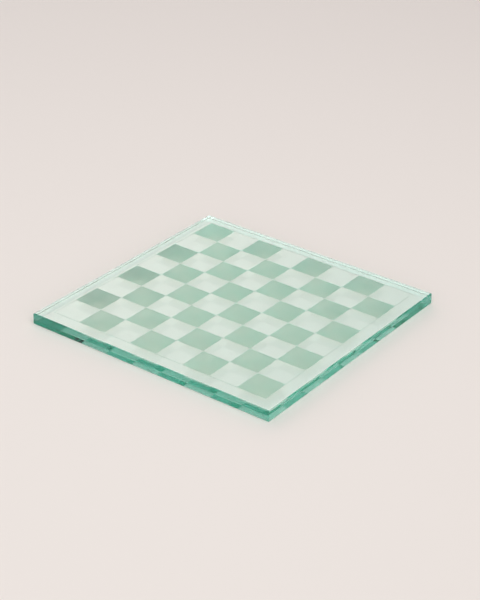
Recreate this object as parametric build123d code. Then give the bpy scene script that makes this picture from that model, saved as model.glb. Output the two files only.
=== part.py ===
from build123d import *

import os

# Glass chess board: one thick float-glass plate with a chequered field etched into its top face.
# Millimetres. The origin is the centre of the underside, +Z is up through the playing surface,
# +X runs from the a file to the h file and +Y from rank 1 to rank 8, so White sits at -Y.

# Driving dimensions
board_side = 350.0
board_thickness = 15.0  # a standard float-glass thickness
square_pitch = 39.1  # from one square to the next
edge_arris = 1.2  # 45 degree arris ground along the top and bottom edges
corner_arris = 0.5  # the same on the four upright corners
etch_depth = 0.2  # how deep the sandblasting bites into the top face
mask_gap = 0.2  # clear hairline that the blasting mask leaves between etched areas
frame_line_width = 0.4  # etched line round the playing field

# Worked out from them
files = "abcdefgh"
squares_per_side = len(files)
field_side = squares_per_side * square_pitch
etched_side = square_pitch - mask_gap
frame_line_inner = field_side + mask_gap
frame_line_outer = frame_line_inner + 2 * frame_line_width
etch_floor = Plane.XY.offset(board_thickness - etch_depth)


def square_centre(file_index, rank_index):
    """Centre of a square in plan, counting files and ranks from a1."""
    half_span = (squares_per_side - 1) / 2
    return (file_index - half_span) * square_pitch, (rank_index - half_span) * square_pitch


def is_dark(file_index, rank_index):
    """The dark squares, a1 among them, are the etched ones."""
    return (file_index + rank_index) % 2 == 0


def etched_layer(outline):
    """The sandblasted skin under an outline, flush with the top face."""
    return extrude(etch_floor * outline, amount=etch_depth)


def make_etched_squares():
    """One thin solid for each dark square, by node name."""
    made = {}
    for file_index, file_letter in enumerate(files):
        for rank_index in range(squares_per_side):
            if is_dark(file_index, rank_index):
                x, y = square_centre(file_index, rank_index)
                outline = Pos(x, y) * Rectangle(etched_side, etched_side)
                made[f"etched_square_{file_letter}{rank_index + 1}"] = etched_layer(outline)
    return made


def make_frame_line():
    """The fine etched line that closes the playing field."""
    outline = Rectangle(frame_line_outer, frame_line_outer) - Rectangle(frame_line_inner, frame_line_inner)
    return etched_layer(outline)


def make_glass_plate(etched_solids):
    """The polished plate, with a shallow pocket for each etched area."""
    upright = (Align.CENTER, Align.CENTER, Align.MIN)
    plate = Box(board_side, board_side, board_thickness, align=upright)
    rims = plate.faces().filter_by(Axis.Z).edges()
    plate = chamfer(rims, edge_arris)
    plate = chamfer(plate.edges().filter_by(Axis.Z), corner_arris)
    return plate.cut(*etched_solids)


def write_parts(nodes, folder="parts"):
    """One STEP file for each node, named after it."""
    os.makedirs(folder, exist_ok=True)
    for name, shape in nodes.items():
        shape.label = name
        export_step(shape, os.path.join(folder, name + ".step"))


etched_nodes = make_etched_squares()
etched_nodes["etched_frame_line"] = make_frame_line()
glass_plate = make_glass_plate(list(etched_nodes.values()))

write_parts({"glass_plate": glass_plate, **etched_nodes})
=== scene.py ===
import math

import bmesh
import bpy
from mathutils import Matrix, Vector


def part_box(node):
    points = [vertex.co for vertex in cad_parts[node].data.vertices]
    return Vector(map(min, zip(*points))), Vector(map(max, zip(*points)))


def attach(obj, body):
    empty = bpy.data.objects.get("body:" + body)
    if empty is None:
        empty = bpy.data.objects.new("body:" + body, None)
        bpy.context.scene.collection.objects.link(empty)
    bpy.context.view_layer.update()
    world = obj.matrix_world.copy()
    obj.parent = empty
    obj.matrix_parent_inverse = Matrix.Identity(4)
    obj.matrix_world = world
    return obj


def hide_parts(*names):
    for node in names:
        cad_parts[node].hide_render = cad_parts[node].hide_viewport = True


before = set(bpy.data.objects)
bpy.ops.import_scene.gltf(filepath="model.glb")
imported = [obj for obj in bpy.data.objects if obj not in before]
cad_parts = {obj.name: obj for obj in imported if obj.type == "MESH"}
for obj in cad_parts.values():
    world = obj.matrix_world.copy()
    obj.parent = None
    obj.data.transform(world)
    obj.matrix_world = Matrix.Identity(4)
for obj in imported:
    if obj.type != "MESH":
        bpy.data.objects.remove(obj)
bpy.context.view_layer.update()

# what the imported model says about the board, in metres
plateLow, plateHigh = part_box("glass_plate")
firstSquareLow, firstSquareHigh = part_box("etched_square_a1")
nextSquareLow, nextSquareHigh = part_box("etched_square_c1")
lineLow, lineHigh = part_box("etched_frame_line")
etchedNodes = sorted(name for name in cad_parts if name.startswith("etched_"))
boardTop = plateHigh.z
boardSide = plateHigh.x - plateLow.x
print("frame: a board", round(boardSide, 4), "m across with", len(etchedNodes), "etched areas")


# helpers that keep the node trees below short

def addNode(tree, kind, **settings):
    node = tree.nodes.new(kind)
    for name, value in settings.items():
        setattr(node, name, value)
    return node


def feed(tree, socket, value):
    if isinstance(value, bpy.types.NodeSocket):
        tree.links.new(value, socket)
    else:
        socket.default_value = value


def calc(tree, operation, *values):
    node = addNode(tree, "ShaderNodeMath", operation=operation)
    for socket, value in zip(node.inputs, values):
        feed(tree, socket, value)
    return node.outputs[0]


def placed(tree, x, y, z):
    node = addNode(tree, "ShaderNodeCombineXYZ")
    for socket, value in zip(node.inputs, (x, y, z)):
        feed(tree, socket, value)
    return node.outputs[0]


def noiseAt(tree, scale, detail=2.0, seedShift=0.0):
    # noise in the board's own space
    spot = addNode(tree, "ShaderNodeTexCoord").outputs["Object"]
    noise = addNode(tree, "ShaderNodeTexNoise", noise_dimensions="4D")
    feed(tree, noise.inputs["Vector"], spot)
    feed(tree, noise.inputs["W"], seedShift)
    feed(tree, noise.inputs["Scale"], scale)
    feed(tree, noise.inputs["Detail"], detail)
    return noise.outputs["Fac"]


def spread(tree, source, low, high, fromLow=0.3, fromHigh=0.7):
    # stretches a 0 to 1 pattern to run from low to high
    node = addNode(tree, "ShaderNodeMapRange")
    limits = {"From Min": fromLow, "From Max": fromHigh, "To Min": low, "To Max": high}
    for name, value in {"Value": source, **limits}.items():
        feed(tree, node.inputs[name], value)
    return node.outputs["Result"]


def between(tree, share, first, second):
    node = addNode(tree, "ShaderNodeMix", data_type="FLOAT")
    feed(tree, node.inputs[0], share)
    feed(tree, node.inputs[2], first)
    feed(tree, node.inputs[3], second)
    return node.outputs[0]


def blended(tree, share, first, second):
    node = addNode(tree, "ShaderNodeMix", data_type="RGBA")
    feed(tree, node.inputs[0], share)
    feed(tree, node.inputs[6], first)
    feed(tree, node.inputs[7], second)
    return node.outputs[2]


# one glass for the whole board: polished, frosted where it is etched, satin on its ground arrises

glass = {
    "ior": 1.52,
    "absorbedPerMetre": (12.6, 3.0, 4.2),  # red, green and blue; what makes float glass green
    "polishedRoughness": (0.008, 0.020),  # lowest and highest; wiping leaves faint traces
    "etchedRoughness": (0.52, 0.60),
    "groundRoughness": (0.14, 0.24),
    "etchedTints": ((0.925, 0.906, 0.828, 1), (0.945, 0.926, 0.848, 1)),
    "clearTint": (1, 1, 1, 1),
    "smudgeScale": 14,  # this and the next two are in cells for each metre
    "mottleScale": 60,
    "grainScale": 2600,  # sandblasted pits, about 0.4 mm apart
    "grainDepth": 0.00003,
}


def makeGlass(recipe):
    # the plate is one closed piece with one material, and marks on its faces say where the finish changes
    material = bpy.data.materials.new("greenFloatGlass")
    material.use_nodes = True
    tree = material.node_tree
    shader = tree.nodes["Principled BSDF"]
    etched = addNode(tree, "ShaderNodeAttribute", attribute_name="etched").outputs["Fac"]
    ground = addNode(tree, "ShaderNodeAttribute", attribute_name="ground").outputs["Fac"]

    smudge = noiseAt(tree, recipe["smudgeScale"], detail=4.0)
    mottle = noiseAt(tree, recipe["mottleScale"], detail=3.0, seedShift=2.0)
    grain = noiseAt(tree, recipe["grainScale"], detail=1.0, seedShift=4.0)
    roughness = between(tree, ground, spread(tree, smudge, *recipe["polishedRoughness"]),
                        spread(tree, mottle, *recipe["groundRoughness"]))
    etchedRoughness = spread(tree, mottle, *recipe["etchedRoughness"])
    feed(tree, shader.inputs["Roughness"], between(tree, etched, roughness, etchedRoughness))
    etchedTint = blended(tree, spread(tree, mottle, 0.0, 1.0), *recipe["etchedTints"])
    feed(tree, shader.inputs["Base Color"], blended(tree, etched, recipe["clearTint"], etchedTint))

    pits = addNode(tree, "ShaderNodeBump")
    feed(tree, pits.inputs["Height"], calc(tree, "MULTIPLY", grain, etched))
    feed(tree, pits.inputs["Distance"], recipe["grainDepth"])
    feed(tree, shader.inputs["Normal"], pits.outputs["Normal"])
    shader.inputs["IOR"].default_value = recipe["ior"]
    shader.inputs["Transmission Weight"].default_value = 1

    density = max(recipe["absorbedPerMetre"]) * 1.25  # a little over the strongest keeps each colour above 0
    passed = [1 - taken / density for taken in recipe["absorbedPerMetre"]]
    inside = addNode(tree, "ShaderNodeVolumeAbsorption")
    inside.inputs["Density"].default_value = density
    inside.inputs["Color"].default_value = (*passed, 1)
    feed(tree, tree.nodes["Material Output"].inputs["Volume"], inside.outputs["Volume"])
    return material


# the plate: a chequered top, grown ring by ring out to the rim, down the sides and under

plate = {
    "Board Side": boardSide,
    "Thickness": plateHigh.z - plateLow.z,
    "Squares": 8,
    "Square Pitch": (nextSquareLow.x - firstSquareLow.x) / 2,
    "Etched Side": firstSquareHigh.x - firstSquareLow.x,
    "Etch Depth": firstSquareHigh.z - firstSquareLow.z,
    "Line Outer Side": lineHigh.x - lineLow.x,
    "Line Width": 0.0004,  # metres, as all the lengths here
    "Edge Arris": 0.0012,
}
cornerArris = 0.0005  # on the four upright corners
nearlyNothing = 1e-6  # metres


def isRimEdge(tree):
    neighbours = addNode(tree, "GeometryNodeInputMeshEdgeNeighbors").outputs["Face Count"]
    compare = addNode(tree, "FunctionNodeCompare", data_type="INT", operation="EQUAL")
    feed(tree, compare.inputs[2], neighbours)
    feed(tree, compare.inputs[3], 1)
    return compare.outputs[0]


def growRim(tree, mesh, growth, drop):
    # one more ring of faces round the open rim, grown sideways about the centre and lowered
    extrude = addNode(tree, "GeometryNodeExtrudeMesh", mode="EDGES")
    feed(tree, extrude.inputs["Mesh"], mesh)
    feed(tree, extrude.inputs["Selection"], isRimEdge(tree))
    feed(tree, extrude.inputs["Offset Scale"], 0.0)
    scale = addNode(tree, "ShaderNodeVectorMath", operation="MULTIPLY")
    feed(tree, scale.inputs[0], addNode(tree, "GeometryNodeInputPosition").outputs[0])
    feed(tree, scale.inputs[1], placed(tree, growth, growth, 1.0))
    move = addNode(tree, "GeometryNodeSetPosition")
    feed(tree, move.inputs["Geometry"], extrude.outputs["Mesh"])
    feed(tree, move.inputs["Selection"], extrude.outputs["Top"])
    feed(tree, move.inputs["Position"], scale.outputs[0])
    feed(tree, move.inputs["Offset"], placed(tree, 0.0, 0.0, calc(tree, "MULTIPLY", drop, -1.0)))
    return move.outputs["Geometry"]


def isDarkSquare(tree, pitch, squares):
    # counts files and ranks from a1; a square is dark where they add up to an even number
    spot = addNode(tree, "ShaderNodeSeparateXYZ")
    feed(tree, spot.inputs[0], addNode(tree, "GeometryNodeInputPosition").outputs[0])
    half = calc(tree, "DIVIDE", squares, 2.0)
    steps = []
    for across in (spot.outputs["X"], spot.outputs["Y"]):
        steps.append(calc(tree, "FLOOR", calc(tree, "ADD", calc(tree, "DIVIDE", across, pitch), half)))
    odd = calc(tree, "MODULO", calc(tree, "ADD", *steps), 2.0)
    return calc(tree, "LESS_THAN", odd, 0.5)


def storeOn(tree, mesh, domain, name, value):
    store = addNode(tree, "GeometryNodeStoreNamedAttribute", data_type="FLOAT", domain=domain)
    feed(tree, store.inputs["Geometry"], mesh)
    feed(tree, store.inputs["Name"], name)
    feed(tree, store.inputs["Value"], value)
    return store.outputs["Geometry"]


def within(tree, value, low, high):
    isOver = calc(tree, "GREATER_THAN", value, low)
    isUnder = calc(tree, "LESS_THAN", value, high)
    return calc(tree, "MULTIPLY", isOver, isUnder)


def buildPlateTree(sizes, material):
    tree = bpy.data.node_groups.new("etchedPlate", "GeometryNodeTree")
    tree.interface.new_socket("Geometry", in_out="OUTPUT", socket_type="NodeSocketGeometry")
    for name, value in sizes.items():
        kind = "NodeSocketInt" if isinstance(value, int) else "NodeSocketFloat"
        tree.interface.new_socket(name, in_out="INPUT", socket_type=kind)
    given = addNode(tree, "NodeGroupInput").outputs
    boardHalf = calc(tree, "DIVIDE", given["Board Side"], 2.0)
    fieldSide = calc(tree, "MULTIPLY", given["Square Pitch"], given["Squares"])
    fieldHalf = calc(tree, "DIVIDE", fieldSide, 2.0)
    lineOuter = calc(tree, "DIVIDE", given["Line Outer Side"], 2.0)
    lineInner = calc(tree, "SUBTRACT", lineOuter, given["Line Width"])
    flatHalf = calc(tree, "SUBTRACT", boardHalf, given["Edge Arris"])
    sideHeight = calc(tree, "SUBTRACT", given["Thickness"], calc(tree, "MULTIPLY", given["Edge Arris"], 2.0))
    minusDepth = calc(tree, "MULTIPLY", given["Etch Depth"], -1.0)

    # the playing field, one face to a square, with the dark ones inset and sunk
    grid = addNode(tree, "GeometryNodeMeshGrid")
    for name in ("Size X", "Size Y"):
        feed(tree, grid.inputs[name], fieldSide)
    for name in ("Vertices X", "Vertices Y"):
        feed(tree, grid.inputs[name], calc(tree, "ADD", given["Squares"], 1.0))
    inset = addNode(tree, "GeometryNodeExtrudeMesh", mode="FACES")
    feed(tree, inset.inputs["Mesh"], grid.outputs["Mesh"])
    feed(tree, inset.inputs["Selection"], isDarkSquare(tree, given["Square Pitch"], given["Squares"]))
    feed(tree, inset.inputs["Offset Scale"], 0.0)
    shrink = addNode(tree, "GeometryNodeScaleElements", domain="FACE")
    feed(tree, shrink.inputs["Geometry"], inset.outputs["Mesh"])
    feed(tree, shrink.inputs["Selection"], inset.outputs["Top"])
    feed(tree, shrink.inputs["Scale"], calc(tree, "DIVIDE", given["Etched Side"], given["Square Pitch"]))
    sink = addNode(tree, "GeometryNodeExtrudeMesh", mode="FACES")
    feed(tree, sink.inputs["Mesh"], shrink.outputs["Geometry"])
    feed(tree, sink.inputs["Selection"], inset.outputs["Top"])
    feed(tree, sink.inputs["Offset Scale"], minusDepth)
    mesh = sink.outputs["Mesh"]

    # hairline, etched frame line, margin, arris, side and lower arris: from, to and how far down
    rings = [
        (fieldHalf, lineInner, 0.0),
        (lineInner, lineInner, given["Etch Depth"]),
        (lineInner, lineOuter, 0.0),
        (lineOuter, lineOuter, minusDepth),
        (lineOuter, flatHalf, 0.0),
        (flatHalf, boardHalf, given["Edge Arris"]),
        (boardHalf, boardHalf, sideHeight),
        (boardHalf, flatHalf, given["Edge Arris"]),
    ]
    for fromHalf, toHalf, drop in rings:
        mesh = growRim(tree, mesh, calc(tree, "DIVIDE", toHalf, fromHalf), drop)
    mesh = growRim(tree, mesh, 0.0, 0.0)  # the underside, drawn in to the middle
    merge = addNode(tree, "GeometryNodeMergeByDistance")
    feed(tree, merge.inputs["Geometry"], mesh)
    feed(tree, merge.inputs["Distance"], nearlyNothing)

    # face marks that the glass reads, and the upright corners' share of the bevel
    spot = addNode(tree, "ShaderNodeSeparateXYZ")
    feed(tree, spot.inputs[0], addNode(tree, "GeometryNodeInputPosition").outputs[0])
    facing = addNode(tree, "ShaderNodeSeparateXYZ")
    feed(tree, facing.inputs[0], addNode(tree, "GeometryNodeInputNormal").outputs[0])
    belowFloor = calc(tree, "MULTIPLY", minusDepth, 1.5)
    aboveFloor = calc(tree, "MULTIPLY", minusDepth, 0.25)
    isSunk = within(tree, spot.outputs["Z"], belowFloor, aboveFloor)
    isSlanted = within(tree, calc(tree, "ABSOLUTE", facing.outputs["Z"]), 0.3, 0.9)
    almostOut = calc(tree, "SUBTRACT", boardHalf, nearlyNothing)
    isOut = []
    for axis in "XY":
        offCentre = calc(tree, "ABSOLUTE", spot.outputs[axis])
        isOut.append(calc(tree, "GREATER_THAN", offCentre, almostOut))
    isCorner = calc(tree, "MULTIPLY", *isOut)
    mesh = storeOn(tree, merge.outputs["Geometry"], "FACE", "etched", isSunk)
    mesh = storeOn(tree, mesh, "FACE", "ground", isSlanted)
    mesh = storeOn(tree, mesh, "EDGE", "bevel_weight_edge", isCorner)

    lift = addNode(tree, "GeometryNodeTransform")
    feed(tree, lift.inputs["Geometry"], mesh)
    feed(tree, lift.inputs["Translation"], placed(tree, 0.0, 0.0, given["Thickness"]))
    realize = addNode(tree, "GeometryNodeRealizeInstances")
    feed(tree, realize.inputs["Geometry"], lift.outputs["Geometry"])
    paint = addNode(tree, "GeometryNodeSetMaterial")
    feed(tree, paint.inputs["Geometry"], realize.outputs["Geometry"])
    feed(tree, paint.inputs["Material"], material)
    feed(tree, addNode(tree, "NodeGroupOutput").inputs["Geometry"], paint.outputs["Geometry"])
    return tree


def grownMesh(name, tree, sizes):
    # runs a tree on an empty mesh and keeps the result as a plain one
    seed = bpy.data.objects.new(name, bpy.data.meshes.new(name))
    bpy.context.scene.collection.objects.link(seed)
    modifier = seed.modifiers.new("grow", "NODES")
    modifier.node_group = tree
    for item in tree.interface.items_tree:
        if item.in_out == "INPUT":
            modifier[item.identifier] = sizes[item.name]
    bpy.context.view_layer.update()
    evaluated = seed.evaluated_get(bpy.context.evaluated_depsgraph_get())
    grown = bpy.data.meshes.new_from_object(evaluated)
    seed.modifiers.remove(modifier)
    seed.data = grown
    shape = bmesh.new()
    shape.from_mesh(grown)
    bmesh.ops.recalc_face_normals(shape, faces=shape.faces)
    shape.to_mesh(grown)
    shape.free()
    return seed


def makePlate(sizes):
    material = makeGlass(glass)
    piece = grownMesh("etchedGlassPlate", buildPlateTree(sizes, material), sizes)
    bevel = piece.modifiers.new("cornerArris", "BEVEL")
    bevel.limit_method = "WEIGHT"
    bevel.width = cornerArris
    bevel.segments = 1
    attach(piece, "root")
    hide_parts("glass_plate", *etchedNodes)
    print("plate:", len(piece.data.polygons), "faces")


makePlate(plate)


# the studio: a pale floor, a pale sky with soft glows, and one soft light overhead

studio = {
    "floorReach": 12.0,
    "floorDrop": 0.0001,  # air under the glass, as on any real table
    "floorColour": (0.825, 0.778, 0.733, 1),
    "horizon": (1.06, 1.09, 1.13),
    "zenith": (0.09, 0.09, 0.09),
    "backdrop": ((0.55, 0.49, 0.475), (0.74, 0.67, 0.63)),  # beyond the floor, low down and high up; painted shade: the low one is the dimmer tone the far floor takes on
    "backdropRise": 4.0,  # how fast the first turns into the second
    "glows": [  # azimuth and elevation in degrees, tightness, then red, green and blue strength
        (46, 30, 13.0, (1.86, 1.20, 1.08)),  # the bright wall behind the board
        (220, 47, 5.4, (1.40, 1.43, 1.46)),  # behind the camera
        (-25, 50, 3.8, (-0.78, -0.79, -0.78)),  # the shaded side of the room
    ],
    "lightSpot": (-0.5, -0.4, 2.4),
    "lightAim": (-0.45, 1.5, 0.0),
    "lightSize": 2.8,
    "lightPower": 25.6,
    "lightSpread": 150,
    "lightColour": (0.97, 1.0, 0.99),
}


def makeFloor():
    mesh = bpy.data.meshes.new("floor")
    reach, low = studio["floorReach"], -studio["floorDrop"]
    corners = [(-reach, -reach, low), (reach, -reach, low), (reach, reach, low), (-reach, reach, low)]
    mesh.from_pydata(corners, [], [(0, 1, 2, 3)])
    floor = bpy.data.objects.new("floor", mesh)
    bpy.context.scene.collection.objects.link(floor)
    material = bpy.data.materials.new("paleFloor")
    material.use_nodes = True
    shader = material.node_tree.nodes["Principled BSDF"]
    shader.inputs["Base Color"].default_value = studio["floorColour"]
    shader.inputs["Roughness"].default_value = 1.0
    shader.inputs["Specular IOR Level"].default_value = 0.0
    mesh.materials.append(material)


def pointingTo(azimuth, elevation):
    around, above = math.radians(azimuth), math.radians(elevation)
    return (math.cos(above) * math.cos(around), math.cos(above) * math.sin(around), math.sin(above))


def vectorCalc(tree, operation, *values):
    node = addNode(tree, "ShaderNodeVectorMath", operation=operation)
    for socket, value in zip(node.inputs, values):
        feed(tree, socket, value)
    return node.outputs["Value"] if operation == "DOT_PRODUCT" else node.outputs["Vector"]


def makeSky():
    world = bpy.data.worlds.new("softSky")
    world.use_nodes = True
    tree = world.node_tree
    looking = addNode(tree, "ShaderNodeTexCoord").outputs["Generated"]
    height = addNode(tree, "ShaderNodeSeparateXYZ")
    feed(tree, height.inputs[0], looking)
    gradient = addNode(tree, "ShaderNodeMix", data_type="VECTOR")
    feed(tree, gradient.inputs[0], height.outputs["Z"])
    feed(tree, gradient.inputs[4], studio["horizon"])
    feed(tree, gradient.inputs[5], studio["zenith"])
    sky = gradient.outputs[1]
    for azimuth, elevation, tightness, strength in studio["glows"]:
        facing = vectorCalc(tree, "DOT_PRODUCT", looking, pointingTo(azimuth, elevation))
        fallOff = calc(tree, "MULTIPLY", calc(tree, "SUBTRACT", facing, 1.0), float(tightness))
        share = calc(tree, "EXPONENT", fallOff)
        glow = vectorCalc(tree, "MULTIPLY", placed(tree, share, share, share), strength)
        sky = vectorCalc(tree, "ADD", sky, glow)
    sky = vectorCalc(tree, "MAXIMUM", sky, (0.02, 0.02, 0.02))

    # seen directly, the sky is a plain backdrop with painted shade, the far floor's dimmer tone low down and
    # lighter higher up; the glass still gets the glows
    rise = addNode(tree, "ShaderNodeMix", data_type="VECTOR")
    feed(tree, rise.inputs[0], calc(tree, "MULTIPLY", height.outputs["Z"], studio["backdropRise"]))
    feed(tree, rise.inputs[4], studio["backdrop"][0])
    feed(tree, rise.inputs[5], studio["backdrop"][1])
    shown = addNode(tree, "ShaderNodeMix", data_type="VECTOR")
    feed(tree, shown.inputs[0], addNode(tree, "ShaderNodeLightPath").outputs["Is Camera Ray"])
    feed(tree, shown.inputs[4], sky)
    feed(tree, shown.inputs[5], rise.outputs[1])
    feed(tree, tree.nodes["Background"].inputs["Color"], shown.outputs[1])
    bpy.context.scene.world = world


def makeLight():
    data = bpy.data.lights.new("softLight", "AREA")
    data.size = studio["lightSize"]
    data.spread = math.radians(studio["lightSpread"])
    data.energy = studio["lightPower"]
    data.color = studio["lightColour"]
    light = bpy.data.objects.new("softLight", data)
    bpy.context.scene.collection.objects.link(light)
    light.location = studio["lightSpot"]
    towards = Vector(studio["lightAim"]) - light.location
    light.rotation_euler = towards.to_track_quat("-Z", "Y").to_euler()


camera = {
    "azimuth": -54.49,  # degrees round the board from its White side
    "elevation": 28.83,
    "distance": 2.098,
    "roll": 1.74,
    "lookAt": (0.0093, 0.0007, boardTop),
    "lens": 102.3,
}


def makeCamera():
    azimuth, elevation, roll = (math.radians(camera[name]) for name in ("azimuth", "elevation", "roll"))
    out = math.cos(elevation)
    back = Vector((math.sin(azimuth) * out, -math.cos(azimuth) * out, math.sin(elevation)))
    level = Vector((math.cos(azimuth), math.sin(azimuth), 0))
    right = level * math.cos(roll) + back.cross(level) * math.sin(roll)
    up = back.cross(right)
    data = bpy.data.cameras.new("camera")
    data.lens = camera["lens"]
    data.clip_start = 0.05
    data.clip_end = 60
    eye = bpy.data.objects.new("camera", data)
    bpy.context.scene.collection.objects.link(eye)
    spot = Vector(camera["lookAt"]) + back * camera["distance"]
    eye.matrix_world = Matrix.Translation(spot) @ Matrix((right, up, back)).transposed().to_4x4()
    bpy.context.scene.camera = eye


makeFloor()
makeSky()
makeLight()
makeCamera()
scene = bpy.context.scene
scene.view_settings.view_transform = "Standard"
scene.cycles.max_bounces = 40  # light crosses the slab many times before it leaves through a side
scene.cycles.glossy_bounces = 32
scene.cycles.transmission_bounces = 32
scene.cycles.diffuse_bounces = 6
scene.cycles.blur_glossy = 0.0
scene.cycles.sample_clamp_indirect = 0
print("studio: floor, sky and camera")
